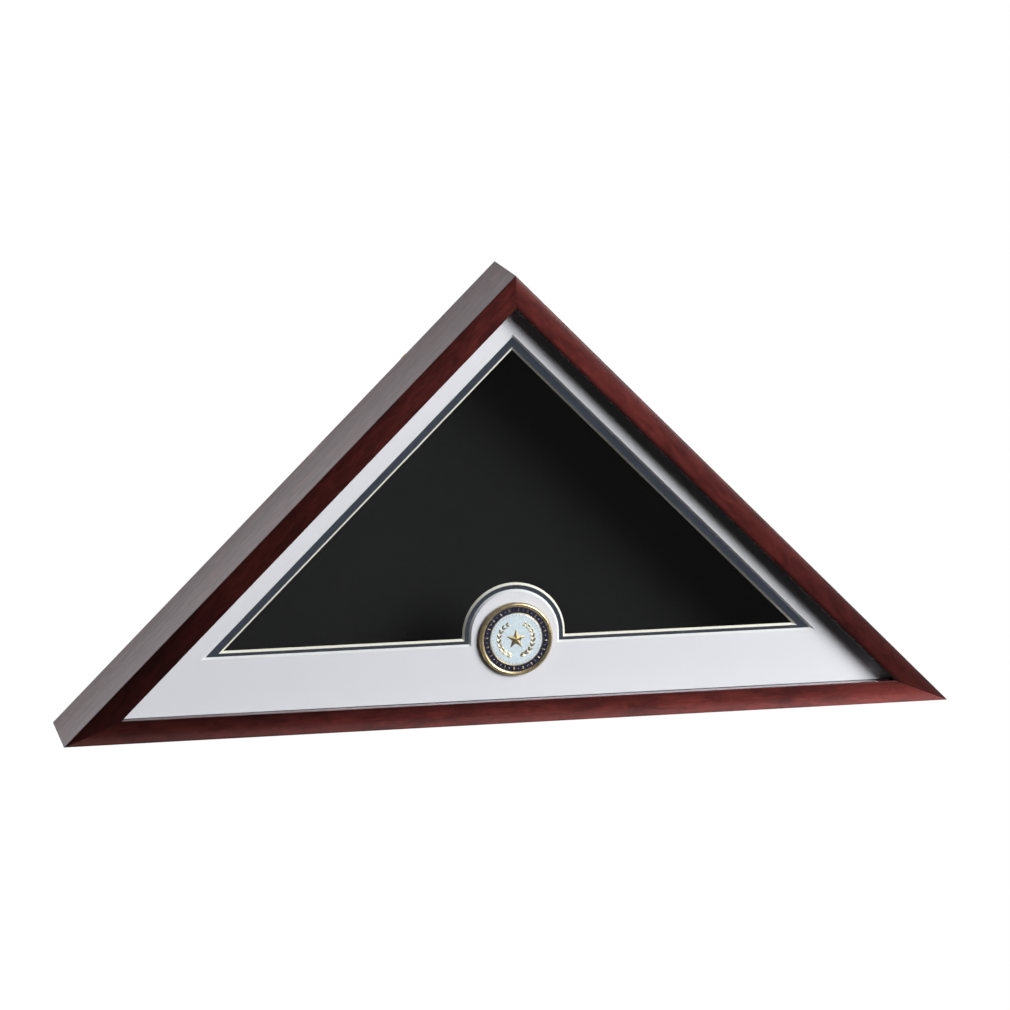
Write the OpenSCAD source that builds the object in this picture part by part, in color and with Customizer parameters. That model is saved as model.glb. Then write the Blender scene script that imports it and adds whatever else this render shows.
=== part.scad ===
// Display case for a ceremonially folded flag: a right-angled triangular shadow
// box of three mitred wooden rails. Behind the front lip lie the glass, its
// spacer and two window mats with a round medallion on them. Fabric-covered
// liner strips line the flag's compartment, and a velvet-faced panel closes the
// back, held by six turn buttons. Two hangers and two bumpers are for a wall.
//
// X is the width, Y the depth from the front (-Y) to the back, Z the height.
// The origin is the middle of the case's footprint, on its base plane.
// Depths are counted from the front plane, and insets square to a side.

/* [Case] */
// Width of the base from corner to corner
case_w = 672; // [600:4:760]
// Depth of the rails from the front plane to the back rim
case_d = 76; // [66:1:96]

/* [Rails] */
// Width of the moulding's front face
face_w = 17.5; // [16:0.5:22]
// Thickness of the rail wall behind the lip
wall_t = 11; // [10.6:0.2:13]
// Depth of the front lip that holds the glass
lip_d = 6; // [4:0.5:8]
// Radius of the crown across the front face
crown_r = 55; // [50:5:120]
// Inset of the crown's highest line
crown_s = 11.5; // [9:0.5:13]
// Radius of the two long front edges
edge_r = 1.1; // [0.6:0.1:1.5]

/* [Glass and spacer] */
// Thickness of the glass
glass_t = 2.2; // [2:0.1:3]
// Width of the spacer strips between the glass and the mats
spacer_w = 5; // [3.5:0.5:6]
// Gap between the rails and the glass, mats and back panel
fit_gap = 0.5; // [0.3:0.1:1]

/* [Window mats] */
// Depth of the outer mat's front face
mat_d = 13.2; // [12.6:0.2:18]
// Thickness of each mat board
mat_t = 1.6; // [1.2:0.2:2.4]
// Inset of the outer mat's window from the sloping sides
window_side = 33.4; // [28:0.2:45]
// Height of the outer mat's window above the base
window_base = 59; // [52:0.5:70]
// Extra border that the inner mat shows along the sloping sides
reveal_side = 6.8; // [4:0.2:10]
// Extra border that the inner mat shows along the window's base
reveal_base = 4; // [3:0.2:8]
// Radius of the outer mat's arch above the medallion
arch_r = 34.3; // [32:0.1:40]
// Extra border that the inner mat shows round the arch
reveal_arch = 4.7; // [3:0.1:8]
// Height of the arch's centre above the base
arch_z = 65.2; // [64:0.2:72]
// Offset of the arch from the case's centre line
arch_x = 1.5; // [-3:0.1:3]

/* [Medallion] */
// Radius of the medallion
medal_r = 27.8; // [26.5:0.1:29]
// Height of the medallion's centre above the base
medal_z = 62.2; // [58:0.2:66]
// Offset of the medallion from the case's centre line
medal_x = 2.3; // [-3:0.1:3]
// Thickness of the medallion at its rim
medal_t = 3; // [2.4:0.2:3.2]
// Width of the medallion's rim
medal_rim = 3.2; // [2.6:0.2:3.2]
// Thickness of the adhesive pad behind the medallion
pad_t = 0.8; // [0.4:0.2:1]

/* [Compartment and back] */
// Thickness of the fabric-covered liner strips
liner_t = 3; // [2:0.5:6]
// Thickness of the back panel's board
board_t = 3; // [2.5:0.5:5]
// Thickness of the velvet lining on the board
velvet_t = 0.8; // [0.5:0.1:1.5]

/* [Turn buttons] */
// Width of a turn button
button_w = 10; // [8:0.5:10]
// Distance from a turn button's screw to the middle of its round tip
button_reach = 16; // [12:1:24]
// Thickness of a turn button
button_t = 1.2; // [1:0.1:1.6]

/* [Hangers and bumpers] */
// Distance of each hanger's loop from the apex, along the rail
hanger_at = 96; // [80:2:120]
// Diameter of the hanger rings' wire
wire_d = 1.8; // [1.6:0.1:2]
// Radius of a wall bumper
bumper_r = 4.6; // [4:0.2:5]

/* [Hidden] */

$fn = 64;
eps = 1;                           // overshoot of cutting solids
case_h = case_w / 2;               // the apex is a right angle
side_l = case_w / sqrt(2);         // length of a sloping side
apex_half = 45;                    // half of each corner's angle
base_half = 22.5;
side_gap = 0.3;                    // clearance between moving pieces

// Hangers: the wire runs in a rolled barrel on a strap
wire_r = wire_d / 2;
barrel_in = wire_r + side_gap;
strap_t = 1;
barrel_out = barrel_in + strap_t;
strap_w = 6.4;                     // fits between the ring's legs
strap_l = 18;                      // from the barrel's centre to the strap's end
strap_screw = 13.4;                // from the barrel's centre to the screw
ring_r = strap_w / 2 + side_gap + wire_r;   // centre line of the ring's bow
ring_leg = 3.6;

// Depths from the front plane
glass_d = lip_d;
spacer_d = glass_d + glass_t;
mat_inner_d = mat_d + mat_t;
liner_d = mat_inner_d + mat_t;
board_d = case_d - board_t;
velvet_d = board_d - velvet_t;
button_d = case_d + side_gap;
back_d = case_d + 2 * barrel_out;  // the hardware's furthest depth
y_front = -back_d / 2;

rim_s = wall_t / 2;                // inset of the middle of the back rim
edge_steps = 6;                    // facets of each rounded front edge
crown_steps = 10;                  // facets across the crown

// Screws
shank_r = 1.3;
shank_l = 12;
head_r = 2.6;
head_h = 1.5;
recess_w = 0.6;                    // cross recess in the head

// V nails: two across the mitre of each corner, flush with the back rim
nail_t = 0.6;
nail_leg = 4.5;
nail_half = 50;
nail_h = 10;
nail_base_at = [14.5, 22];         // distances from the corner along the mitre
nail_apex_at = [8.5, 12.5];

// Medallion, heights above its back
medal_floor = 1.4;
enamel_h = 0.6;
enamel_in = 19.6;                  // radius of the pale field
enamel_sep = 0.6;                  // metal line between the field and the ring
emblem_h = 0.7;
star_r = 7.6;
star_in = 3.1;
wreath_r = 13;
leaf_l = 4.6;
leaf_w = 1.9;
leaf_count = 9;                    // leaves on each branch
leaf_from = 22;                    // first and last leaf, degrees from the bottom
leaf_to = 150;
leaf_tilt = 24;
bead_r = 0.32;
bead_circle = 18.1;
bead_count = 44;
dot_r = 0.75;
dot_count = 24;

// Places along the rails, as fractions of their length
button_low = 0.3;
button_high = 0.66;
bumper_at = 64;                    // from the base corners

// Corners of the case's triangle drawn in by a from the sloping sides and b
// from the base
function inset_tri(a, b) =
    let (t = a * sqrt(2), h = case_w / 2 - b - t)
    [[-h, b], [h, b], [0, case_h - t]];

// Places children on a side: x along it, y the depth and z square to it,
// inwards. The base runs from the left corner, the right side from the right
// corner and the left side from the apex.
module on_side(side) {
    at = side == "base" ? [-case_w / 2, 0] : side == "right" ? [case_w / 2, 0] : [0, case_h];
    turn = side == "base" ? 0 : side == "right" ? 135 : 225;
    translate([at[0], y_front, at[1]]) rotate([0, -turn, 0]) children();
}

// Places children at a corner: x along the mitre, inwards, and y the depth
module at_corner(corner) {
    at = corner == "left" ? [-case_w / 2, 0] : corner == "right" ? [case_w / 2, 0] : [0, case_h];
    turn = corner == "left" ? base_half : corner == "right" ? 180 - base_half : 270;
    translate([at[0], y_front, at[1]]) rotate([0, -turn, 0]) children();
}

// Draws a flat outline in X and Z and gives it the depths from d0 to d1
module slab(d0, d1) {
    translate([0, y_front + d1, 0]) rotate([90, 0, 0]) linear_extrude(d1 - d0) children();
}

// Strip along a side with mitred ends, between insets s0 and s1
module strip(side, s0, s1, d0, d1) {
    length = side == "base" ? case_w : side_l;
    first = 1 / tan(side == "left" ? apex_half : base_half);
    last = 1 / tan(side == "right" ? apex_half : base_half);
    on_side(side) translate([0, d1, 0]) rotate([90, 0, 0]) linear_extrude(d1 - d0)
        polygon([
            [s0 * first, s0], [length - s0 * last, s0],
            [length - s1 * last, s1], [s1 * first, s1]
        ]);
}

// ---- Rails ----

// Points along an arc about c from angle a0 up to a1, which the next arc gives
function arc(c, r, a0, a1, steps) =
    [for (i = [0 : steps - 1]) let (a = a0 + (a1 - a0) * i / steps) c + r * [cos(a), sin(a)]];

// Centre of the round, at inset s, that joins the crown to a side face
function edge_centre(s) =
    [crown_r - sqrt(pow(crown_r - edge_r, 2) - pow(crown_s - s, 2)), s];

// Moulding's section: x is the depth and y the inset
module rail_section() {
    outer = edge_centre(edge_r);
    inner = edge_centre(face_w - edge_r);
    crown = [crown_r, crown_s];
    a_outer = atan2(outer[1] - crown_s, outer[0] - crown_r);
    a_inner = atan2(inner[1] - crown_s, inner[0] - crown_r) - 360;
    polygon(concat(
        [[case_d, 0]],
        arc(outer, edge_r, -90, a_outer, edge_steps),
        arc(crown, crown_r, a_outer, a_inner, crown_steps),
        arc(inner, edge_r, a_inner, -270, edge_steps),
        [[inner[0], face_w], [lip_d, face_w], [lip_d, wall_t], [case_d, wall_t]]
    ));
}

// Rail with mitred ends, cut for the nails and screws in its back rim
module rail(side) {
    length = side == "base" ? case_w : side_l;
    difference() {
        intersection() {
            on_side(side) rotate([90, 0, 90]) linear_extrude(length) rail_section();
            strip(side, 0, face_w, -eps, case_d + eps);
        }
        corner_v_nails();
        screw_shanks();
    }
}

module rail_left() {
    color("#5c2624") rail("left");
}

module rail_right() {
    color("#5c2624") rail("right");
}

module rail_base() {
    color("#5c2624") rail("base");
}

module v_nail() {
    translate([0, case_d - nail_h, 0]) rotate([-90, 0, 0]) linear_extrude(nail_h)
        for (side = [-1, 1])
            rotate(180 + side * nail_half) translate([0, -nail_t / 2]) square([nail_leg, nail_t]);
}

module corner_v_nails() {
    color("#8d9094") {
        for (corner = ["left", "right"])
            for (u = nail_base_at)
                at_corner(corner) translate([u, 0, 0]) v_nail();
        for (u = nail_apex_at)
            at_corner("apex") translate([u, 0, 0]) v_nail();
    }
}

// ---- Glass, spacer and mats ----

module glass_pane() {
    color("#dfe9e8", 0.3) slab(glass_d, spacer_d) polygon(inset_tri(wall_t + fit_gap, wall_t + fit_gap));
}

module glass_spacer(side) {
    color("#1d1b1d") strip(side, wall_t + fit_gap, wall_t + fit_gap + spacer_w, spacer_d, mat_d);
}

// Everything further in than a 45 degree bevel that reaches inset s at depth d
module beyond_bevel(side, s, d) {
    reach = mat_t + eps;
    on_side(side) translate([-case_w, 0, 0]) rotate([90, 0, 90]) linear_extrude(3 * case_w)
        polygon([[d - reach, s - reach], [d + eps, s + eps], [d + eps, case_w], [d - reach, case_w]]);
}

// Bevelled arch that stays standing in the window, of radius r at depth d
module arch(r, d) {
    reach = mat_t + eps;
    translate([arch_x, y_front + d - reach, arch_z]) rotate([-90, 0, 0])
        cylinder(h = reach + eps, r1 = r - reach, r2 = r + eps, $fn = 180);
    linear_extrude(arch_z) translate([arch_x, y_front + d])
        polygon([[reach - r, -reach], [r - reach, -reach], [r + eps, eps], [-r - eps, eps]]);
}

// Mat board with its front at depth d, its window inset by a from the sloping
// sides and b from the base, and an arch of radius r
module mat(d, a, b, r) {
    back = d + mat_t;
    difference() {
        slab(d, back) polygon(inset_tri(wall_t + fit_gap, wall_t + fit_gap));
        difference() {
            intersection() {
                beyond_bevel("left", a, back);
                beyond_bevel("right", a, back);
                beyond_bevel("base", b, back);
            }
            arch(r, back);
        }
    }
}

module mat_outer() {
    color("#e2e2e8") mat(mat_d, window_side, window_base, arch_r);
}

module mat_inner() {
    color("#2f3747")
        mat(mat_inner_d, window_side + reveal_side, window_base + reveal_base, arch_r + reveal_arch);
}

// ---- Medallion ----

// Places children at the medallion's centre, h in front of its back
module on_medallion(h) {
    translate([medal_x, y_front + mat_d - pad_t - h, medal_z]) rotate([90, 0, 0]) children();
}

module medallion_disc() {
    rim_mid = medal_r - medal_rim / 2;
    color("#b8954f") on_medallion(0) rotate_extrude($fn = 180) {
        square([medal_r, medal_floor]);
        translate([medal_r - medal_rim, 0]) square([medal_rim, medal_t - medal_rim / 2]);
        intersection() {
            translate([rim_mid, medal_t - medal_rim / 2]) circle(medal_rim / 2);
            square([medal_r, medal_t]);
        }
        translate([enamel_in, 0]) square([enamel_sep, medal_floor + enamel_h]);
    }
}

module medallion_enamel_ring() {
    color("#1b2350") on_medallion(medal_floor) linear_extrude(enamel_h) difference() {
        circle(medal_r - medal_rim, $fn = 180);
        circle(enamel_in + enamel_sep, $fn = 180);
    }
}

module medallion_enamel_field() {
    color("#d5e6ec") on_medallion(medal_floor) linear_extrude(enamel_h) circle(enamel_in, $fn = 180);
}

module star() {
    polygon([
        for (i = [0 : 9])
            let (r = i % 2 == 0 ? star_r : star_in) [r * sin(36 * i), r * cos(36 * i)]
    ]);
}

module leaf() {
    r = (pow(leaf_l, 2) + pow(leaf_w, 2)) / (4 * leaf_w);
    intersection() {
        translate([0, r - leaf_w / 2]) circle(r);
        translate([0, leaf_w / 2 - r]) circle(r);
    }
}

// Plain star in an open wreath, a circle of beads and a ring of dots
module medallion_emblem() {
    step = (leaf_to - leaf_from) / (leaf_count - 1);
    dot_circle = (medal_r - medal_rim + enamel_in + enamel_sep) / 2;
    color("#d9bd76") on_medallion(medal_floor + enamel_h) {
        linear_extrude(emblem_h) star();
        linear_extrude(emblem_h) for (side = [-1, 1], i = [0 : leaf_count - 1])
            rotate(-90 + side * (leaf_from + i * step)) translate([wreath_r, 0])
                rotate(side * (90 - leaf_tilt)) leaf();
        for (i = [0 : bead_count - 1])
            rotate(i * 360 / bead_count) translate([bead_circle, 0]) cylinder(h = emblem_h / 2, r = bead_r);
        for (i = [0 : dot_count - 1])
            rotate(i * 360 / dot_count) translate([dot_circle, 0]) cylinder(h = emblem_h / 2, r = dot_r);
    }
}

module medallion_adhesive_pad() {
    color("#e8e6df") on_medallion(-pad_t) cylinder(h = pad_t, r = medal_r * 0.7);
}

// ---- Compartment and back ----

module liner(side) {
    color("#161517") strip(side, wall_t, wall_t + liner_t, liner_d, velvet_d - side_gap);
}

module back_panel() {
    color("#6d5642") slab(board_d, case_d) polygon(inset_tri(wall_t + fit_gap, wall_t + fit_gap));
}

module velvet_lining() {
    color("#131214") slab(velvet_d, board_d) polygon(inset_tri(wall_t + 2 * fit_gap, wall_t + 2 * fit_gap));
}

// ---- Turn buttons, screws, hangers and bumpers ----

// Places children on the back rim of a side: x along it, z out of the back
module on_rim(side, x, d) {
    on_side(side) translate([x, d, rim_s]) rotate([-90, 0, 0]) children();
}

// Each turn button's side and the place of its screw along that side
button_places = [
    ["left", side_l * (1 - button_high)], ["left", side_l * (1 - button_low)],
    ["right", side_l * button_high], ["right", side_l * button_low],
    ["base", case_w * button_low], ["base", case_w * (1 - button_low)]
];

// Each hanger's side, the place of its barrel, and 1 or -1 for a strap that
// runs down the rail along +x or -x
hanger_places = [["left", hanger_at, 1], ["right", side_l - hanger_at, -1]];

// Turn button turned aside, along its rail
module turn_button(i) {
    place = button_places[i];
    color("#26262a") on_rim(place[0], place[1], button_d) linear_extrude(button_t) difference() {
        union() {
            circle(button_w / 2);
            translate([button_reach, 0]) circle(button_w / 2);
            translate([0, -button_w / 2]) square([button_reach, button_w]);
        }
        circle(shank_r + side_gap);
    }
}

// Screw whose head sits on a surface at depth d
module screw(side, x, d) {
    color("#a8a9ab") on_rim(side, x, d) difference() {
        union() {
            translate([0, 0, -shank_l]) cylinder(h = shank_l + eps / 2, r = shank_r);
            cylinder(h = head_h - recess_w, r = head_r);
            translate([0, 0, head_h - recess_w]) cylinder(h = recess_w, r1 = head_r, r2 = head_r * 0.7);
        }
        for (turn = [0, 90])
            rotate(turn) translate([-head_r * 0.6, -recess_w / 2, head_h - recess_w])
                cube([head_r * 1.2, recess_w, head_h]);
    }
}

module turn_button_screws() {
    for (place = button_places) screw(place[0], place[1], button_d + button_t + side_gap / 2);
}

module hanger_screws() {
    for (place = hanger_places) screw(place[0], place[1] + place[2] * strap_screw, case_d + strap_t);
}

// Shanks that every screw leaves as holes in the rails
module screw_shanks() {
    for (place = button_places)
        on_rim(place[0], place[1], button_d + button_t + side_gap / 2 - shank_l)
            cylinder(h = shank_l, r = shank_r);
    for (place = hanger_places)
        on_rim(place[0], place[1] + place[2] * strap_screw, case_d + strap_t - shank_l)
            cylinder(h = shank_l, r = shank_r);
}

// Strap with a rolled barrel at its end for the ring
module hanger_strap(i) {
    place = hanger_places[i];
    color("#b9a15e") on_rim(place[0], place[1], case_d) difference() {
        union() {
            linear_extrude(strap_t) difference() {
                union() {
                    translate([min(0, place[2] * (strap_l - strap_w / 2)), -strap_w / 2])
                        square([strap_l - strap_w / 2, strap_w]);
                    translate([place[2] * (strap_l - strap_w / 2), 0]) circle(strap_w / 2);
                }
                translate([place[2] * strap_screw, 0]) circle(shank_r);
            }
            translate([0, strap_w / 2, barrel_out]) rotate([90, 0, 0])
                cylinder(h = strap_w, r = barrel_out);
        }
        translate([0, strap_w / 2 + eps, barrel_out]) rotate([90, 0, 0])
            cylinder(h = strap_w + 2 * eps, r = barrel_in);
    }
}

// D-shaped wire ring lying back over its strap
module hanger_ring(i) {
    place = hanger_places[i];
    color("#c9b26d") on_rim(place[0], place[1], case_d + barrel_out)
        rotate(place[2] > 0 ? 0 : 180) {
            translate([0, ring_r, 0]) rotate([90, 0, 0]) cylinder(h = 2 * ring_r, r = wire_r);
            for (y = [-ring_r, ring_r]) translate([0, y, 0]) {
                sphere(wire_r);
                rotate([0, 90, 0]) cylinder(h = ring_leg, r = wire_r);
            }
            translate([ring_leg, 0, 0]) rotate(-90) rotate_extrude(angle = 180)
                translate([ring_r, 0]) circle(wire_r);
        }
}

module wall_bumpers() {
    color("#2b2a2c") for (x = [bumper_at, case_w - bumper_at])
        on_rim("base", x, case_d) cylinder(h = back_d - case_d, r1 = bumper_r, r2 = bumper_r * 0.8);
}

rail_left();
rail_right();
rail_base();
corner_v_nails();
glass_pane();
glass_spacer("left");  // glass_spacer_left
glass_spacer("right");  // glass_spacer_right
glass_spacer("base");  // glass_spacer_base
mat_outer();
mat_inner();
medallion_disc();
medallion_enamel_ring();
medallion_enamel_field();
medallion_emblem();
medallion_adhesive_pad();
liner("left");  // liner_left
liner("right");  // liner_right
liner("base");  // liner_base
back_panel();
velvet_lining();
turn_button(0);  // turn_button_left_upper
turn_button(1);  // turn_button_left_lower
turn_button(2);  // turn_button_right_upper
turn_button(3);  // turn_button_right_lower
turn_button(4);  // turn_button_base_left
turn_button(5);  // turn_button_base_right
turn_button_screws();
hanger_strap(0);  // hanger_strap_left
hanger_strap(1);  // hanger_strap_right
hanger_ring(0);  // hanger_ring_left
hanger_ring(1);  // hanger_ring_right
hanger_screws();
wall_bumpers();
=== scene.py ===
"""Folded flag display case: looks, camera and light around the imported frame."""

import math

import bmesh
import bpy
from mathutils import Matrix, Vector


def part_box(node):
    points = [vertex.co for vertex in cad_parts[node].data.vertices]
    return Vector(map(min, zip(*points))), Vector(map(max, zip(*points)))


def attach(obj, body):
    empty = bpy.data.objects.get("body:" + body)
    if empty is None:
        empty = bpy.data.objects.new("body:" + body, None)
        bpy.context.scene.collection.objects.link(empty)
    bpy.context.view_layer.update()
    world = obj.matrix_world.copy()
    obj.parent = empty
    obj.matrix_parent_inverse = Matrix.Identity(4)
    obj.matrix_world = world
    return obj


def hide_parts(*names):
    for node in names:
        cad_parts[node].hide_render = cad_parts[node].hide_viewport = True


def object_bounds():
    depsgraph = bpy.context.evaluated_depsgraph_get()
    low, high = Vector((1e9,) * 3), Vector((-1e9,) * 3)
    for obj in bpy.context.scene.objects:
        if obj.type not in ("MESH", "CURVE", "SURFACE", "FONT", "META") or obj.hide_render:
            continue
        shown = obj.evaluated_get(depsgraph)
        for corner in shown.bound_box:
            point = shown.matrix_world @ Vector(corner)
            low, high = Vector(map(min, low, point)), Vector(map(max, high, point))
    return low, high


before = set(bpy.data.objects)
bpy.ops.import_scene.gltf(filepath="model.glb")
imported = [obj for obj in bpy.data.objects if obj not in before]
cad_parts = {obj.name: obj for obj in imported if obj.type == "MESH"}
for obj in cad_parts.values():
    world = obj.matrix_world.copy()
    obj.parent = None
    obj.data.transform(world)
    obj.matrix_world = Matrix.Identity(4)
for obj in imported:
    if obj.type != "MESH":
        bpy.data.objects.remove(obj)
cad_low, cad_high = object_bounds()
MM = 0.001
scene = bpy.context.scene

# ---- Sizes, all from the frame ----

base_low, base_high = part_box("rail_base")
glass_low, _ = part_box("glass_pane")
liner_low, liner_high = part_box("liner_base")
velvet_low, velvet_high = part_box("velvet_lining")
disc_low, disc_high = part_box("medallion_disc")
field_low, field_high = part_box("medallion_enamel_field")
ring_low, ring_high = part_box("medallion_enamel_ring")

HALF_W = base_high.x
APEX_Z = cad_high.z
FRONT_Y = base_low.y
RAIL_D = base_high.y - base_low.y
FACE_W = base_high.z - base_low.z
WALL_T = liner_low.z
LIP_D = glass_low.y - FRONT_Y
SIDE_L = HALF_W * math.sqrt(2)

MEDAL_AT = Vector(((disc_low.x + disc_high.x) / 2, disc_high.y, (disc_low.z + disc_high.z) / 2))
MEDAL_R = (disc_high.x - disc_low.x) / 2
MEDAL_T = disc_high.y - disc_low.y
FIELD_R = (field_high.x - field_low.x) / 2
RING_R = (ring_high.x - ring_low.x) / 2
ENAMEL_FLOOR = MEDAL_AT.y - field_high.y
ENAMEL_TOP = MEDAL_AT.y - field_low.y

# ---- Frames of the three sides: x along a side, d the depth, s inwards ----

SLOPE = math.sqrt(0.5)
SIDES = {
    # origin, direction along, direction inwards, half corner angles, turn
    "base": ((-HALF_W, 0), (1, 0), (0, 1), (22.5, 22.5), 0),
    "right": ((HALF_W, 0), (-SLOPE, SLOPE), (-SLOPE, -SLOPE), (22.5, 45), 135),
    "left": ((0, APEX_Z), (-SLOPE, -SLOPE), (SLOPE, -SLOPE), (45, 22.5), 225),
}


def side_length(side):
    return 2 * HALF_W if side == "base" else SIDE_L


def on_side(side, x, d, s):
    """The point at x along a side, d behind the front plane and s in from the side."""
    origin, along, inward, _, _ = SIDES[side]
    return Vector((
        origin[0] + x * along[0] + s * inward[0],
        FRONT_Y + d,
        origin[1] + x * along[1] + s * inward[1],
    ))


def mitred(side, t, d, s):
    """As on_side, with t from 0 to 1 between the side's two mitre planes."""
    first, last = (s / math.tan(math.radians(a)) for a in SIDES[side][3])
    return on_side(side, first + t * (side_length(side) - last - first), d, s)


# ---- Mesh helpers ----


def piece(name, verts, faces, material, body, replaces, smooth=True):
    """Makes a mesh piece that rides on a body and stands for CAD nodes."""
    mesh = bpy.data.meshes.new(name)
    mesh.from_pydata([tuple(v) for v in verts], [], faces)
    bm = bmesh.new()
    bm.from_mesh(mesh)
    bmesh.ops.recalc_face_normals(bm, faces=bm.faces)
    bm.to_mesh(mesh)
    bm.free()
    mesh.materials.append(material)
    mesh.polygons.foreach_set("use_smooth", [smooth] * len(mesh.polygons))
    obj = bpy.data.objects.new(name, mesh)
    scene.collection.objects.link(obj)
    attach(obj, body)
    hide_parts(*replaces)
    return obj


def soften(obj, width):
    """Rounds a piece's sharp edges."""
    bevel = obj.modifiers.new("soft_edges", "BEVEL")
    bevel.width = width
    bevel.segments = 2
    bevel.limit_method = "ANGLE"
    bevel.angle_limit = math.radians(30)
    bevel.harden_normals = True
    bevel.use_clamp_overlap = True


def arc(centre, radius, start, end, steps):
    """Points along an arc, angles in degrees, the last one left out."""
    angles = [math.radians(start + (end - start) * i / steps) for i in range(steps)]
    return [(centre[0] + radius * math.cos(a), centre[1] + radius * math.sin(a)) for a in angles]


def swept(side, profile):
    """A closed profile of (d, s) points swept between a side's mitre planes, with caps."""
    verts = [mitred(side, t, d, s) for t in (0, 1) for d, s in profile]
    n = len(profile)
    faces = [(i, (i + 1) % n, n + (i + 1) % n, n + i) for i in range(n)]
    faces += [tuple(range(n)), tuple(range(2 * n - 1, n - 1, -1))]
    return verts, faces


def lathe(profile, centre, steps=160):
    """Turns a closed profile of (radius, height) points about an axis out of the front."""
    verts = []
    for k in range(steps):
        a = 2 * math.pi * k / steps
        for r, h in profile:
            verts.append((centre.x + r * math.cos(a), centre.y - h, centre.z + r * math.sin(a)))
    n = len(profile)
    faces = [
        (k * n + i, k * n + (i + 1) % n, (k + 1) % steps * n + (i + 1) % n, (k + 1) % steps * n + i)
        for k in range(steps)
        for i in range(n)
    ]
    return verts, faces


# ---- Materials ----


class Nodes:
    """Short calls for the nodes of one tree."""

    def __init__(self, tree):
        self.tree = tree

    def node(self, kind, inputs=None, **settings):
        made = self.tree.nodes.new(kind)
        for key, value in settings.items():
            setattr(made, key, value)
        for key, value in (inputs or {}).items():
            self.put(made.inputs[key], value)
        return made

    def put(self, socket, value):
        if isinstance(value, bpy.types.NodeSocket):
            self.tree.links.new(value, socket)
        else:
            socket.default_value = value

    def place(self, scale, turn=0.0, shift=(0, 0, 0)):
        """Object coordinates turned about Y by turn degrees and then scaled."""
        coords = self.node("ShaderNodeTexCoord").outputs["Object"]
        if turn:
            coords = self.node(
                "ShaderNodeMapping", {"Vector": coords, "Rotation": (0, math.radians(turn), 0)}
            ).outputs["Vector"]
        return self.node(
            "ShaderNodeMapping", {"Vector": coords, "Scale": scale, "Location": shift}
        ).outputs["Vector"]

    def noise(self, vector, scale=1.0, detail=3.0, roughness=0.5, distortion=0.0):
        return self.node("ShaderNodeTexNoise", {
            "Vector": vector, "Scale": scale, "Detail": detail,
            "Roughness": roughness, "Distortion": distortion,
        }).outputs["Fac"]

    def ramp(self, factor, stops):
        made = self.node("ShaderNodeValToRGB", {"Fac": factor})
        elements = made.color_ramp.elements
        while len(elements) < len(stops):
            elements.new(0.5)
        for element, (position, colour) in zip(elements, stops):
            element.position = position
            element.color = (*colour, 1)
        return made.outputs["Color"]

    def remap(self, value, low, high, to_low, to_high):
        return self.node("ShaderNodeMapRange", {
            "Value": value, "From Min": low, "From Max": high, "To Min": to_low, "To Max": to_high,
        }).outputs["Result"]

    def math(self, operation, a, b=0.0):
        return self.node("ShaderNodeMath", {0: a, 1: b}, operation=operation).outputs["Value"]

    def add(self, a, b):
        return self.math("ADD", a, b)

    def times(self, a, b):
        return self.math("MULTIPLY", a, b)

    def dot(self, a, b):
        return self.node("ShaderNodeVectorMath", {0: a, 1: b}, operation="DOT_PRODUCT").outputs["Value"]

    def axis(self, name, vector):
        return self.node("ShaderNodeSeparateXYZ", {0: vector}).outputs[name]

    def normal(self):
        return self.node("ShaderNodeTexCoord").outputs["Normal"]

    def blend(self, factor, a, b):
        """A number between a (factor 0) and b (factor 1)."""
        return self.node("ShaderNodeMix", {0: factor, 2: a, 3: b}).outputs[0]

    def mix(self, factor, a, b, blend="MIX"):
        made = self.node("ShaderNodeMix", data_type="RGBA", blend_type=blend)
        for index, value in ((0, factor), (6, a), (7, b)):
            if not isinstance(value, bpy.types.NodeSocket) and index:
                value = (*value, 1)
            self.put(made.inputs[index], value)
        return made.outputs[2]

    def seen(self):
        """1 for what the camera sees, directly or through the glass, and otherwise 0."""
        path = self.node("ShaderNodeLightPath").outputs
        bounces = self.add(path["Glossy Depth"], path["Diffuse Depth"])
        through = self.times(path["Is Transmission Ray"], self.math("LESS_THAN", bounces, 0.5))
        return self.math("MAXIMUM", path["Is Camera Ray"], through)


class Shader(Nodes):
    """A node material with a Principled shader."""

    def __init__(self, name, **constants):
        self.material = bpy.data.materials.new(name)
        self.material.use_nodes = True
        super().__init__(self.material.node_tree)
        self.shader = self.tree.nodes["Principled BSDF"]
        self.output = self.tree.nodes["Material Output"]
        for key, value in constants.items():
            self.shader.inputs[key.replace("_", " ")].default_value = value

    def set(self, key, value):
        self.put(self.shader.inputs[key], value)

    def bump(self, height, distance, strength=1.0):
        made = self.node("ShaderNodeBump", {
            "Height": height, "Distance": distance, "Strength": strength,
        })
        self.set("Normal", made.outputs["Normal"])


def shade(colour, factor):
    """A lighter or darker colour."""
    return tuple(c * factor for c in colour)


ALONG_REACH = 0.24  # the painted light and shade along a rail change over this length before and after its middle, and the lacquer thins over it towards the start


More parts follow.
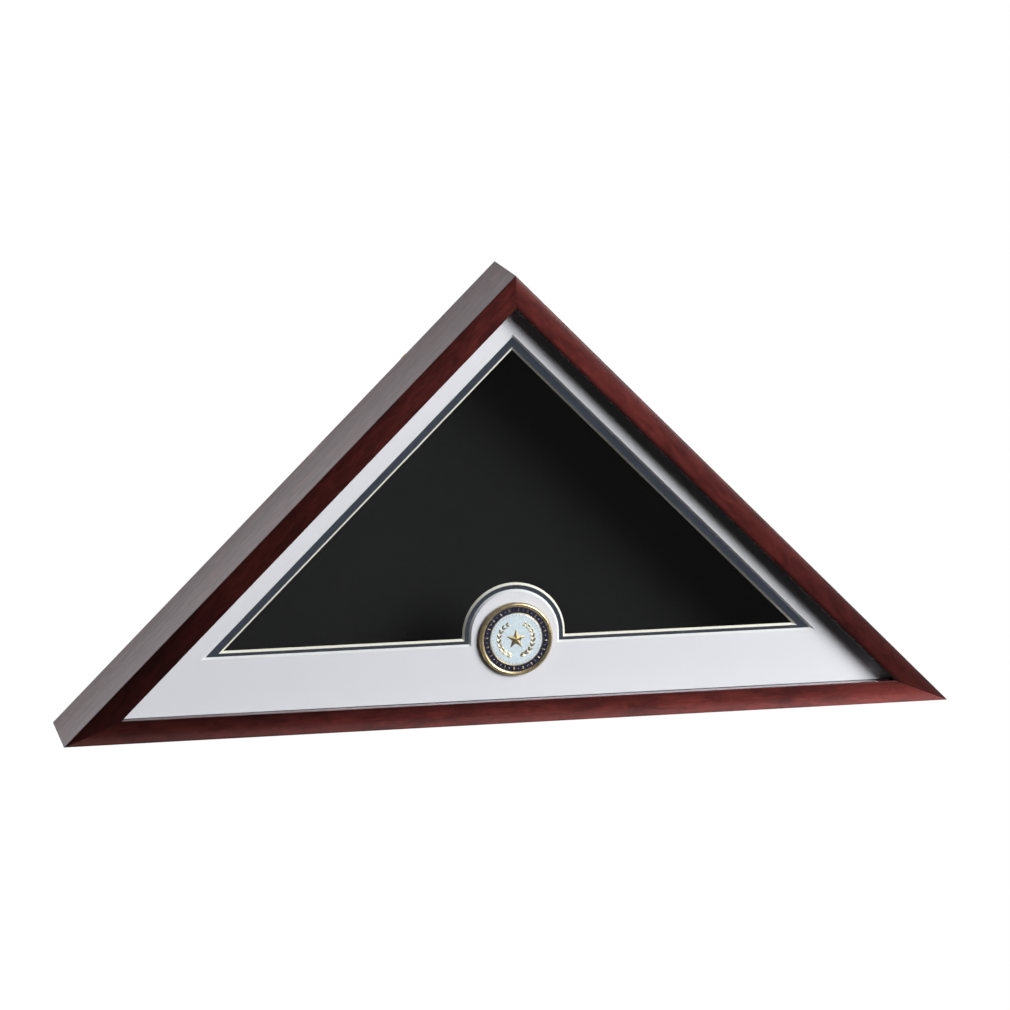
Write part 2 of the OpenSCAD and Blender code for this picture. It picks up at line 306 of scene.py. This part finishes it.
def stain_and_shade(s, turn, shift):
    """The stained wood's colour before its painted light and shade, its mottle, the broader figure, and
    the grain's relief.
    """
    mottle = s.noise(s.place((60, 190, 190), turn, shift), detail=5.0, roughness=0.62, distortion=0.6)
    cloud = s.noise(s.place((14, 40, 40), turn, shift), detail=2.0)
    streak = s.noise(s.place((22, 900, 900), turn, shift), detail=3.0, roughness=0.6)
    pores = s.noise(s.place((160, 5200, 5200), turn, shift), detail=2.0, roughness=0.5)
    figure = s.add(s.times(mottle, 0.6), s.times(cloud, 0.4))
    colour = s.ramp(figure, [
        (0.34, (0.0125, 0.0034, 0.0032)),
        (0.46, (0.0220, 0.0046, 0.0042)),
        (0.56, (0.0340, 0.0066, 0.0058)),
        (0.68, (0.0500, 0.0096, 0.0082)),
    ])
    colour = s.mix(s.remap(streak, 0.42, 0.68, 0.0, 0.45), colour, (0.011, 0.0035, 0.0033))
    colour = s.mix(s.remap(pores, 0.60, 0.70, 0.0, 0.5), colour, (0.005, 0.002, 0.002))
    return colour, mottle, figure, s.add(streak, s.times(pores, 0.35))


def rail_point(s, turn):
    """Where a shaded point is on a rail that is turned by turn degrees.

    Gives the direction into the case, the place along the rail, the distance from the rail's
    outer side, and how far the surface faces in (1) or out (-1).
    """
    angle = math.radians(turn + 90)
    cosines = {0: math.cos(angle), 2: math.sin(angle)}
    inward = s.node("ShaderNodeCombineXYZ", cosines).outputs["Vector"]
    spot = s.axis("X", s.place((1, 1, 1), turn))
    inset = s.add(s.dot(s.place((1, 1, 1)), inward), HALF_W * SLOPE if turn else 0.0)
    return inward, spot, inset, s.dot(s.normal(), inward)


def wood(name, turn, shift, along, shade_across, inner_shade):
    """Stained and lacquered wood, its grain along a rail turned by turn degrees.

    along gives how strongly the wood is stained at the rail's start, middle and end, as painted light
    and shade along the rail. The next argument is a pair of distances from the rail's outer side and
    the strength at each, as painted light and shade across the face. The last is the gloss left on
    the face's inner edge, which can be lowered there as painted shade.
    """
    s = Shader(name, Coat_IOR=1.5, Anisotropic=0.89)
    colour, mottle, figure, relief = stain_and_shade(s, turn, shift)
    inward, spot, inset, facing = rail_point(s, turn)
    flank = s.remap(facing, -0.9, -0.6, 1.0, 0.0)
    s.set("Tangent", inward)
    s.bump(relief, 0.00006, 0.25)

    # Painted light and shade: how strongly the wood is stained changes along each rail and across its
    # face, and is even on the outer side
    start, middle, end = along
    first = s.remap(spot, -ALONG_REACH, 0.0, start, middle)
    second = s.remap(spot, 0.0, ALONG_REACH, 0.0, end - middle)
    strength = s.times(s.add(first, second), s.remap(inset, *shade_across))
    s.set("Base Color", s.mix(1.0, colour, s.blend(flank, strength, 1.8), "MULTIPLY"))

    # The lip's inner edge is rubbed to a gloss, and the rest is satin
    rubbed = s.times(s.remap(facing, 0.7, 0.95, 0.0, 1.0), s.remap(spot, -0.25, -0.05, 0.3, 1.0))
    s.set("Roughness", s.blend(rubbed, s.remap(mottle, 0.3, 0.7, 0.65, 0.58), 0.12))
    s.set("IOR", s.remap(rubbed, 0.0, 1.0, 1.5, 2.6))
    s.set("Specular IOR Level", s.remap(rubbed, 0.0, 1.0, 0.55, 1.0))

    # The face's own gloss takes the wood's colour and is dimmed at its outer edge, and at its inner
    # edge by the board's setting as painted shade
    outer_edge = s.remap(inset, 0.2 * MM, 1.6 * MM, 0.3, 1.0)
    gloss = s.times(outer_edge, s.remap(inset, 13.5 * MM, 17 * MM, 1.0, inner_shade))
    tint = s.ramp(figure, [
        (0.36, (0.58, 0.100, 0.088)), (0.52, (0.92, 0.150, 0.130)), (0.66, (1.0, 0.175, 0.150)),
    ])
    tint = s.mix(gloss, (0.0, 0.0, 0.0), tint)
    s.set("Specular Tint", s.mix(s.math("MAXIMUM", rubbed, flank), tint, (0.9, 0.78, 0.85)))

    # The lacquer is thinner towards the outer side's back and towards the rail's start
    depth = s.axis("Y", s.place((1, 1, 1)))
    thin = s.remap(depth, FRONT_Y, FRONT_Y + RAIL_D, 0.26, 0.10)
    thin = s.times(thin, s.remap(spot, -ALONG_REACH, -0.05, 0.5, 1.0))
    s.set("Coat Weight", s.blend(rubbed, s.blend(flank, s.times(gloss, 0.3), thin), 1.0))
    s.set("Coat Roughness", s.remap(rubbed, 0.0, 1.0, 0.24, 0.07))
    return s.material


def mat_board(name, face, core, tooth, mottle):
    """Paper-faced mat board whose bevels show its core."""
    s = Shader(name, Roughness=0.88, Specular_IOR_Level=0.28, IOR=1.45)
    fine = s.noise(s.place((1, 1, 1)), scale=tooth, detail=4.0, roughness=0.6)
    wide = s.noise(s.place((1, 1, 1)), scale=26.0, detail=2.0)
    paper = s.ramp(s.add(s.times(fine, 0.7), s.times(wide, 0.3)), [
        (0.35, shade(face, 1 - mottle)), (0.65, shade(face, 1 + mottle)),
    ])
    cut = s.ramp(fine, [(0.35, shade(core, 0.93)), (0.65, core)])
    tilted = s.math("LESS_THAN", s.math("ABSOLUTE", s.axis("Y", s.normal())), 0.9)
    s.set("Base Color", s.mix(tilted, paper, cut))
    s.bump(fine, 0.00005, 0.5)
    return s.material


def pile_fabric(name, colour, weave, sheen=0.35):
    """Short black pile, soft and nearly without gloss."""
    s = Shader(name, Roughness=0.95, Specular_IOR_Level=0.15, Sheen_Weight=sheen, Sheen_Roughness=0.5)
    s.shader.inputs["Sheen Tint"].default_value = (0.5, 0.5, 0.52, 1)
    pile = s.noise(s.place((1, 1, 1)), scale=weave, detail=5.0, roughness=0.7)
    nap = s.noise(s.place((9, 9, 14)), detail=3.0, roughness=0.6, distortion=1.2)
    both = s.add(s.times(pile, 0.6), s.times(nap, 0.4))
    s.set("Base Color", s.ramp(both, [
        (0.36, shade(colour, 0.72)), (0.64, shade(colour, 1.35)),
    ]))
    s.bump(pile, 0.0003, 0.6)
    return s.material


def metal(name, colour, rough, scratch=900.0, tarnish=0.18):
    """Bright metal with faint handling marks in its colour and gloss."""
    s = Shader(name, Metallic=1.0)
    marks = s.noise(s.place((1, 1, 1)), scale=scratch, detail=4.0, roughness=0.65)
    cloud = s.noise(s.place((1, 1, 1)), scale=180.0, detail=3.0)
    s.set("Base Color", s.ramp(cloud, [
        (0.30, shade(colour, 1 - tarnish)), (0.70, colour),
    ]))
    s.set("Roughness", s.remap(marks, 0.3, 0.7, rough * 0.8, rough * 1.3))
    s.bump(marks, 0.00002, 0.25)
    return s.material


def struck_gilt(name):
    """Gilded metal, its sides darker than its front faces as painted shade."""
    s = Shader(name, Metallic=1.0)
    marks = s.noise(s.place((1, 1, 1)), scale=1600.0, detail=4.0, roughness=0.65)
    cloud = s.noise(s.place((1, 1, 1)), scale=220.0, detail=3.0)
    face = s.ramp(cloud, [(0.30, (0.50, 0.38, 0.21)), (0.70, (0.68, 0.53, 0.31))])
    # Painted shade: surfaces that turn away from the front get a darker gilt colour
    side_shade = s.remap(s.axis("Y", s.normal()), -0.45, -0.05, 0.0, 1.0)
    s.set("Base Color", s.mix(side_shade, face, (0.30, 0.235, 0.16)))
    s.set("Roughness", s.remap(marks, 0.3, 0.7, 0.22, 0.36))
    s.bump(marks, 0.00002, 0.25)
    return s.material


def enamel(name, colour, depth=0.12):
    """Fired enamel: clear gloss over a faintly clouded colour."""
    s = Shader(name, Coat_Weight=1.0, Coat_Roughness=0.05, Coat_IOR=1.55, Specular_IOR_Level=0.5)
    cloud = s.noise(s.place((1, 1, 1)), scale=420.0, detail=4.0, roughness=0.6)
    s.set("Base Color", s.ramp(cloud, [
        (0.30, shade(colour, 1 - depth)), (0.70, shade(colour, 1 + depth)),
    ]))
    s.set("Roughness", s.remap(cloud, 0.3, 0.7, 0.22, 0.32))
    s.bump(cloud, 0.00002, 0.2)
    return s.material


def coated(name, colour, rough, grain=1400.0, spread=0.2, height=0.00003):
    """Paint, plastic, rubber or foam with a fine grain."""
    s = Shader(name, Specular_IOR_Level=0.45)
    fine = s.noise(s.place((1, 1, 1)), scale=grain, detail=3.0, roughness=0.6)
    s.set("Base Color", s.ramp(fine, [
        (0.32, shade(colour, 1 - spread)), (0.68, shade(colour, 1 + spread)),
    ]))
    s.set("Roughness", s.remap(fine, 0.3, 0.7, rough * 0.9, min(1.0, rough * 1.12)))
    s.bump(fine, height, 0.5)
    return s.material


def hardboard(name):
    """Pressed brown fibre board with fine fibres and darker flecks."""
    s = Shader(name, Specular_IOR_Level=0.3)
    fibre = s.noise(s.place((900, 1, 900)), detail=4.0, roughness=0.7, distortion=1.6)
    cloud = s.noise(s.place((1, 1, 1)), scale=14.0, detail=4.0)
    flecks = s.noise(s.place((1, 1, 1)), scale=520.0, detail=2.0)
    base = s.ramp(s.add(s.times(fibre, 0.5), s.times(cloud, 0.5)), [
        (0.36, (0.125, 0.066, 0.036)), (0.64, (0.225, 0.130, 0.074)),
    ])
    s.set("Base Color", s.mix(s.remap(flecks, 0.62, 0.72, 0.0, 0.6), base, (0.055, 0.028, 0.016)))
    s.set("Roughness", s.remap(cloud, 0.3, 0.7, 0.48, 0.66))
    s.bump(fibre, 0.00008, 0.5)
    return s.material


def pane(name):
    """Clear glass that lets the lamps' light through to the mats."""
    s = Shader(
        name, Base_Color=(0.985, 0.995, 0.99, 1), Roughness=0.0, IOR=1.5, Transmission_Weight=1.0,
    )
    through = s.node("ShaderNodeBsdfTransparent", {"Color": (0.985, 0.995, 0.99, 1)})
    path = s.node("ShaderNodeLightPath").outputs
    mixed = s.node("ShaderNodeMixShader", {
        0: s.math("MAXIMUM", path["Is Shadow Ray"], path["Is Diffuse Ray"]),
        1: s.shader.outputs["BSDF"],
        2: through.outputs["BSDF"],
    })
    s.put(s.output.inputs["Surface"], mixed.outputs["Shader"])
    return s.material


# ---- CAD nodes that keep their shape ----


def dress(node, material, edge=0.0):
    """Gives a CAD node a material, and soft edges where edge is a width."""
    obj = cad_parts[node]
    obj.data.materials.clear()
    obj.data.materials.append(material)
    if edge:
        weld = obj.modifiers.new("weld", "WELD")
        weld.merge_threshold = 0.002 * MM
        soften(obj, edge)


def dress_front():
    """The glass, its spacer, the two mats and the medallion's pad."""
    white = mat_board("white_board", (0.80, 0.785, 0.84), (0.82, 0.815, 0.83), 1500.0, 0.02)
    navy = mat_board("navy_board", (0.034, 0.040, 0.058), (0.88, 0.85, 0.75), 1500.0, 0.30)
    dress("glass_pane", pane("clear_glass"))
    dress("mat_outer", white)
    dress("mat_inner", navy)
    spacer = coated("spacer_black", (0.012, 0.011, 0.012), 0.55)
    for side in SIDES:
        dress("glass_spacer_" + side, spacer)
    dress("medallion_adhesive_pad", coated("foam_tape", (0.72, 0.71, 0.66), 0.85, 900.0, 0.06))


def dress_back():
    """The back panel, its turn buttons, the hangers, the bumpers and the nails."""
    dress("back_panel", hardboard("brown_hardboard"))
    zinc = metal("zinc_plate", (0.42, 0.42, 0.43), 0.34)
    dress("turn_button_screws", zinc)
    dress("hanger_screws", zinc)
    dress("corner_v_nails", metal("nail_plate", (0.42, 0.42, 0.43), 0.42))
    brass = metal("brass_plate", (0.50, 0.36, 0.16), 0.34)
    for hand in ("left", "right"):
        dress("hanger_strap_" + hand, brass)
        dress("hanger_ring_" + hand, brass)
    dress("wall_bumpers", coated("bumper_rubber", (0.024, 0.023, 0.024), 0.7, 1600.0, 0.25))
    black_steel = coated("black_steel", (0.018, 0.018, 0.020), 0.36, 1100.0, 0.25)
    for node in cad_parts:
        if node.startswith("turn_button_") and node != "turn_button_screws":
            dress(node, black_steel, 0.25 * MM)


# ---- Rails ----

CROWN_R = 55 * MM
CROWN_S = 11.5 * MM
EDGE_R = 1.1 * MM
RIM_SET_BACK = 0.05 * MM  # leaves the nails' ends just proud of the rim


def rail_profile():
    """The moulding's section: crowned face, two rounded edges, lip and wall."""

    def edge_centre(s):
        return (CROWN_R - math.sqrt((CROWN_R - EDGE_R) ** 2 - (CROWN_S - s) ** 2), s)

    def towards(centre):
        return math.degrees(math.atan2(centre[1] - CROWN_S, centre[0] - CROWN_R))

    outer = edge_centre(EDGE_R)
    inner = edge_centre(FACE_W - EDGE_R)
    a_outer = towards(outer)
    a_inner = towards(inner) - 360
    back = RAIL_D - RIM_SET_BACK
    flat = 0.5 * MM  # keeps the shading of the flat faces next to the rounded edges true
    return (
        [(back, 0), (outer[0] + flat, 0)]
        + arc(outer, EDGE_R, -90, a_outer, 8)
        + arc((CROWN_R, CROWN_S), CROWN_R, a_outer, a_inner, 16)
        + arc(inner, EDGE_R, a_inner, -270, 8)
        + [(inner[0], FACE_W), (inner[0] + flat, FACE_W)]
        + [(LIP_D, FACE_W), (LIP_D, WALL_T), (back, WALL_T)]
    )


def make_rails():
    profile = rail_profile()
    # Per board: how strongly it is stained along the rail and across its face, both painted light and
    # shade, and the gloss left at the face's inner edge, lowered on the right rail as painted shade
    boards = {
        "left": ((0.3, 0.1, 0.7), (2.7, 1.1, 0.45), (0, 12 * MM, 0.8, 1.0), 1.0),
        "right": ((2.1, 0.4, 1.3), (0.05, 1.3, 1.75), (14 * MM, 17 * MM, 1.0, 0.25), 0.25),
        "base": ((4.7, 0.2, 0.1), (0.55, 1.6, 2.2), (0, FACE_W, 3.2, 0.5), 1.0),
    }
    for side, stain_and_shade in boards.items():
        verts, faces = swept(side, profile)
        material = wood("cherry_" + side, SIDES[side][4], *stain_and_shade)
        rail = piece("moulding_" + side, verts, faces, material, "case", ["rail_" + side])
        soften(rail, 0.2 * MM)


# ---- Compartment ----

BLACK_CLOTH = (0.0038, 0.0038, 0.0039)


def make_liners():
    """Fabric-covered strips along the compartment's three walls."""
    cloth = pile_fabric("liner_cloth", BLACK_CLOTH, 2600.0)
    thick = liner_high.z - liner_low.z
    d0, d1 = liner_low.y - FRONT_Y, liner_high.y - FRONT_Y
    inside = WALL_T + thick
    round_r = 0.7 * MM
    profile = (
        [(d0, WALL_T), (d1, WALL_T)]
        + arc((d1 - round_r, inside - round_r), round_r, 0, 90, 5)
        + arc((d0 + round_r, inside - round_r), round_r, 90, 180, 5)
        + [(d0, inside - round_r)]
    )
    for side in SIDES:
        verts, faces = swept(side, profile)
        piece("liner_cloth_" + side, verts, faces, cloth, "case", ["liner_" + side])


def velvet_mesh(half, height, ripple, rows=60):
    """A triangle of small triangles with a faint ripple on its front."""
    verts, starts, faces = [], [], []
    for i in range(rows + 1):
        z = velvet_low.z + height * i / rows
        reach = half * (1 - i / rows)
        starts.append(len(verts))
        for j in range(rows - i + 1):
            x = -reach + 2 * reach * j / max(1, rows - i)
            wave = math.sin(41 * x + 13 * z) * math.sin(23 * z - 17 * x)
            verts.append((x, velvet_low.y + ripple * (1 + wave), z))
    for i in range(rows):
        a, b = starts[i], starts[i + 1]
        for j in range(rows - i):
            faces.append((a + j, a + j + 1, b + j))
            if j < rows - i - 1:
                faces.append((a + j + 1, b + j + 1, b + j))
    return verts, faces


def make_velvet():
    """The velvet on the back panel's inner face, one sheet glued flat."""
    cloth = pile_fabric("black_velvet", BLACK_CLOTH, 2200.0)
    ripple = 0.12 * MM
    half = velvet_high.x
    height = velvet_high.z - velvet_low.z
    thick = velvet_high.y - velvet_low.y
    verts, faces = velvet_mesh(half, height, ripple)
    sheet = piece("velvet_sheet", verts, faces, cloth, "back", ["velvet_lining"])
    body = sheet.modifiers.new("cloth_thickness", "SOLIDIFY")
    body.thickness = thick - 2 * ripple
    body.offset = -1 if sheet.data.polygons[0].normal.y < 0 else 1


# ---- Medallion ----

PARTING = 0.6 * MM  # metal line between the two enamels
AXIS_R = 0.0001 * MM  # a lathe profile starts this far from the axis
SUNK = -0.05 * MM  # how far the relief's foot goes into the enamel
STAR_R, STAR_INNER_R = 7.6 * MM, 3.1 * MM
WREATH_R, LEAF_PAIRS = 13 * MM, 9
BEAD_R, BEADS, BEADS_R = 0.42 * MM, 44, 18.1 * MM
RING_MARKS = 40
RING_MARKS_R = (RING_R + FIELD_R + PARTING) / 2


def smooth_step(t):
    return t * t * (3 - 2 * t)


def make_struck_body(gilt):
    """The disc: a rounded rim with a fine step inside it, and the line between the enamels."""
    rim_r = (MEDAL_R - RING_R) / 2
    rim_c = (RING_R + rim_r, MEDAL_T - rim_r)
    chamfer = 0.4 * MM
    ridge = ENAMEL_TOP + 0.08 * MM
    profile = (
        [(AXIS_R, 0), (MEDAL_R - chamfer, 0), (MEDAL_R, chamfer)]
        + arc(rim_c, rim_r, 0, 150, 14)
        + [(RING_R + 0.12 * MM, ENAMEL_TOP + 0.28 * MM), (RING_R, ENAMEL_TOP + 0.1 * MM)]
        + [(RING_R, ENAMEL_FLOOR), (FIELD_R + PARTING, ENAMEL_FLOOR), (FIELD_R + PARTING, ridge)]
        + arc((FIELD_R + PARTING / 2, ridge), PARTING / 2, 0, 180, 8)
        + [(FIELD_R, ridge), (FIELD_R, ENAMEL_FLOOR), (AXIS_R, ENAMEL_FLOOR)]
    )
    verts, faces = lathe(profile, MEDAL_AT)
    piece("medallion_body", verts, faces, gilt, "case", ["medallion_disc"])


def make_enamel(name, inner, outer, material, node):
    """A shallow pool of enamel that climbs a little at its metal edges."""
    steps, rise, reach = 22, 0.07 * MM, 0.7 * MM
    surface = []
    for i in range(steps + 1):
        r = inner + (outer - inner) * i / steps
        edge = min(outer - r, r - inner if inner > MM else outer - r)
        surface.append((r, ENAMEL_TOP + rise * smooth_step(max(0.0, 1 - edge / reach))))
    verts, faces = lathe(surface + [(outer, ENAMEL_FLOOR), (inner, ENAMEL_FLOOR)], MEDAL_AT)
    piece(name, verts, faces, material, "case", [node])


class Relief:
    """Raised figures on the enamel, in x and z from the medallion's centre and h above it."""

    def __init__(self):
        self.verts = []
        self.faces = []

    def put(self, x, z, h):
        self.verts.append((MEDAL_AT.x + x, MEDAL_AT.y - ENAMEL_TOP - h, MEDAL_AT.z + z))
        return len(self.verts) - 1

    def ring_of(self, points, h):
        return [self.put(x, z, h) for x, z in points]

    def skirt(self, low, high):
        n = len(low)
        self.faces += [(low[i], low[(i + 1) % n], high[(i + 1) % n], high[i]) for i in range(n)]

    def foot(self, low):
        self.faces.append(tuple(reversed(low)))

    def star(self, radius, inner, edge, peak):
        """A faceted five-pointed star."""
        points = []
        for i in range(10):
            reach = inner if i % 2 else radius
            points.append((reach * math.sin(math.pi * i / 5), reach * math.cos(math.pi * i / 5)))
        low = self.ring_of(points, SUNK)
        high = self.ring_of(points, edge)
        self.skirt(low, high)
        tip = self.put(0, 0, peak)
        self.faces += [(high[i], high[(i + 1) % 10], tip) for i in range(10)]
        self.foot(low)

    def leaf(self, cx, cz, angle, length, width, peak, steps=10):
        """A pointed leaf with a raised rib."""
        c, s = math.cos(angle), math.sin(angle)

        def turned(x, y):
            return (cx + x * c - y * s, cz + x * s + y * c)

        def half_width(i):
            return width / 2 * math.sin(math.pi * i / steps) ** 0.8

        def station(i):
            return length * (i / steps - 0.5)

        outline = [turned(station(i), half_width(i)) for i in range(steps + 1)]
        outline += [turned(station(i), -half_width(i)) for i in range(steps - 1, 0, -1)]
        low = self.ring_of(outline, SUNK)
        high = self.ring_of(outline, 0.18 * MM)
        self.skirt(low, high)
        rib = [
            self.put(*turned(station(i) * 0.86, 0), peak * math.sin(math.pi * (0.1 + 0.8 * i / steps)))
            for i in range(steps + 1)
        ]
        n = len(high)
        for i in range(steps):
            self.faces.append((high[i], high[i + 1], rib[i + 1], rib[i]))
            self.faces.append((high[(n - i) % n], rib[i], rib[i + 1], high[(n - i - 1) % n]))
        self.foot(low)

    def bead(self, cx, cz, radius, around, rings):
        """A flattened half ball."""
        levels = []
        for k in range(rings):
            t = math.pi / 2 * k / rings
            points = [
                (cx + radius * math.cos(t) * math.cos(2 * math.pi * i / around),
                 cz + radius * math.cos(t) * math.sin(2 * math.pi * i / around))
                for i in range(around)
            ]
            levels.append(self.ring_of(points, 0.8 * radius * math.sin(t) if k else -0.04 * MM))
        for low, high in zip(levels, levels[1:]):
            self.skirt(low, high)
        tip = self.put(cx, cz, radius * 0.8)
        last = levels[-1]
        self.faces += [(last[i], last[(i + 1) % around], tip) for i in range(around)]
        self.foot(levels[0])


def add_wreath(relief):
    """Two laurel branches, open at the top, with their leaves in pairs."""
    for hand in (-1, 1):
        for i in range(LEAF_PAIRS):
            around = math.radians(-90 + hand * (22 + 128 * i / (LEAF_PAIRS - 1)))
            along = around + hand * math.radians(90)
            for reach, turn in ((0.9 * MM, -24), (-0.9 * MM, 24)):
                r = WREATH_R + reach
                relief.leaf(
                    r * math.cos(around), r * math.sin(around), along + hand * math.radians(turn),
                    (4.4 - 0.12 * i) * MM, (1.55 - 0.04 * i) * MM, 0.62 * MM,
                )


def add_beads(relief):
    """A circle of beads near the pale field's edge."""
    for i in range(BEADS):
        a = 2 * math.pi * i / BEADS
        relief.bead(BEADS_R * math.cos(a), BEADS_R * math.sin(a), BEAD_R, 10, 3)


def add_ring_marks(relief):
    """Lozenges and beads by turns on the navy ring."""
    for i in range(RING_MARKS):
        a = 2 * math.pi * (i + 0.5) / RING_MARKS
        x, z = RING_MARKS_R * math.cos(a), RING_MARKS_R * math.sin(a)
        if i % 2:
            relief.leaf(x, z, a, 2.6 * MM, 1.0 * MM, 0.6 * MM)
        else:
            relief.bead(x, z, BEAD_R, 12, 4)


def make_relief(gilt):
    relief = Relief()
    relief.star(STAR_R, STAR_INNER_R, 0.25 * MM, 1.15 * MM)
    add_wreath(relief)
    add_beads(relief)
    add_ring_marks(relief)
    piece(
        "medallion_relief", relief.verts, relief.faces, gilt, "case",
        ["medallion_emblem"], smooth=False,
    )


def make_medallion():
    gilt = struck_gilt("gilt")
    navy = enamel("navy_enamel", (0.0085, 0.0115, 0.036))
    pale = enamel("pale_enamel", (0.76, 0.86, 0.95), 0.04)
    make_struck_body(gilt)
    make_enamel(
        "ring_enamel", FIELD_R + PARTING, RING_R, navy, "medallion_enamel_ring",
    )
    make_enamel("field_enamel", AXIS_R, FIELD_R, pale, "medallion_enamel_field")
    make_relief(gilt)


# ---- Camera ----

# The camera's place and aim were fitted to the straight edges of the real case.
CAMERA_AT = Vector((-0.6481, FRONT_Y - 2.9673, 0.7963))
CAMERA_YAW, CAMERA_PITCH, CAMERA_ROLL = (math.radians(a) for a in (12.167, 11.724, 0.022))
CAMERA_LENS = 150.41


def make_camera():
    forward = Vector((
        math.sin(CAMERA_YAW) * math.cos(CAMERA_PITCH),
        math.cos(CAMERA_YAW) * math.cos(CAMERA_PITCH),
        -math.sin(CAMERA_PITCH),
    ))
    right = Vector((math.cos(CAMERA_YAW), -math.sin(CAMERA_YAW), 0))
    up = right.cross(forward)
    turn = Matrix.Rotation(-CAMERA_ROLL, 3, forward)
    data = bpy.data.cameras.new("camera")
    data.sensor_width = 36
    data.lens = CAMERA_LENS
    data.clip_start, data.clip_end = 0.05, 200
    camera = bpy.data.objects.new("camera", data)
    camera.matrix_world = Matrix.Translation(CAMERA_AT) @ Matrix(
        [[*row] for row in zip(turn @ right, turn @ up, turn @ -forward)]
    ).to_4x4()
    scene.collection.objects.link(camera)
    scene.camera = camera


# ---- Floor and light ----

FLOOR_HALF = 40.0


def floor_paint():
    """White to the camera, bright near the case in gloss, and dim otherwise."""
    s = Shader("pale_floor", Base_Color=(0.01, 0.01, 0.01, 1), Roughness=0.9, Specular_IOR_Level=0.0)
    glossy = s.node("ShaderNodeLightPath").outputs["Is Glossy Ray"]
    place = s.place((1, 1, 1))
    near = s.remap(s.axis("Y", place), FRONT_Y - 0.020, FRONT_Y - 0.002, 0.0, 3.4)
    near = s.add(s.times(near, s.remap(s.axis("X", place), -0.33, 0.25, 0.35, 1.0)), 0.06)
    white = s.node("ShaderNodeEmission", {"Color": (1, 1, 1, 1), "Strength": 1.07})
    sheen = s.node("ShaderNodeEmission", {"Color": (1, 1, 1, 1), "Strength": near})
    unseen = s.node("ShaderNodeMixShader", {
        0: glossy, 1: s.shader.outputs["BSDF"], 2: sheen.outputs["Emission"],
    })
    mixed = s.node("ShaderNodeMixShader", {
        0: s.times(s.seen(), 0.94), 1: unseen.outputs["Shader"], 2: white.outputs["Emission"],
    })
    s.put(s.output.inputs["Surface"], mixed.outputs["Shader"])
    return s.material


def make_floor():
    corners = [(-1, -1), (1, -1), (1, 1), (-1, 1)]
    mesh = bpy.data.meshes.new("floor")
    mesh.from_pydata([(x * FLOOR_HALF, y * FLOOR_HALF, 0) for x, y in corners], [], [(0, 1, 2, 3)])
    mesh.materials.append(floor_paint())
    floor = bpy.data.objects.new("floor", mesh)
    scene.collection.objects.link(floor)


def area_light(name, place, aim, size, power):
    data = bpy.data.lights.new(name, "AREA")
    data.shape = "RECTANGLE"
    data.size, data.size_y = size
    data.energy = power
    lamp = bpy.data.objects.new(name, data)
    lamp.location = place
    lamp.rotation_mode = "QUATERNION"
    lamp.rotation_quaternion = (Vector(aim) - Vector(place)).to_track_quat("-Z", "Y")
    scene.collection.objects.link(lamp)


def make_light():
    """One large key from the right and a weaker lamp behind the case."""
    middle = Vector((0, 0, APEX_Z * 0.45))
    key = Vector((0.92, -1.0, 0.54)).normalized() * 3.3
    area_light("key", middle + key, middle, (1.65, 1.65), 168)
    area_light("back_fill", (1.3, 2.2, 0.9), (0, 0, 0.12), (1.4, 1.4), 50)


def make_world():
    """A white studio behind the case and a dim one in front of it, both white to the camera."""
    world = bpy.data.worlds.new("studio")
    scene.world = world
    world.use_nodes = True
    w = Nodes(world.node_tree)
    background = world.node_tree.nodes["Background"]
    ahead = w.axis("Y", w.node("ShaderNodeTexCoord").outputs["Generated"])
    glossy = w.node("ShaderNodeLightPath").outputs["Is Glossy Ray"]

    def backdrop(front, back):
        return w.remap(ahead, -0.05, 0.45, front, back)

    unseen = w.blend(glossy, backdrop(0.0, 0.4), backdrop(0.065, 2.0))
    w.put(background.inputs["Strength"], w.blend(w.seen(), unseen, 1.1))
    background.inputs["Color"].default_value = (1.0, 0.965, 0.99, 1)
    scene.view_settings.view_transform = "Standard"


# ---- The whole scene ----

dress_front()
dress_back()
make_rails()
make_liners()
make_velvet()
make_medallion()
make_camera()
make_floor()
make_light()
make_world()
